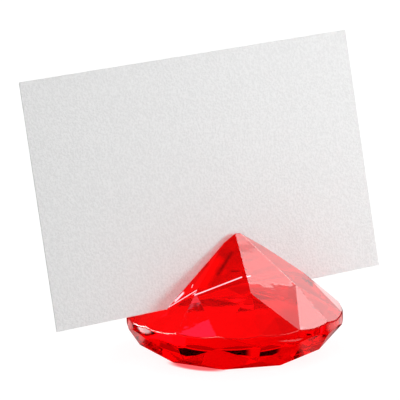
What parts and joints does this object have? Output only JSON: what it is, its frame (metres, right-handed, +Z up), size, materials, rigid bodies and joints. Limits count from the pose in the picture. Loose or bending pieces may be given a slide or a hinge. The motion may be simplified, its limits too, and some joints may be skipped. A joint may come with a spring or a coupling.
{
  "type": "place card holder",
  "caption": "Faceted gem-shaped place card holder with a leaning slit across its point and a blank card standing in it.",
  "frame": {"origin": "centre of the flat octagonal face that the gem stands on", "axes": "+X along the slit, +Z up, and the face of the card looks towards -Y"},
  "size_m": [0.0872, 0.049, 0.0694],
  "materials": {
    "red_acrylic": "polished, clear red",
    "card_stock": "matt felt-marked paper"
  },
  "bodies": {
    "holder": {"gem_holder": "red_acrylic"},
    "card": {"place_card": "card_stock"}
  },
  "joints": [
    {"name": "card_lift", "type": "slide", "parent": "holder", "child": "card", "axis": [0, 0.1803, 0.9836], "range_m": [0, 0.018]}
  ]
}
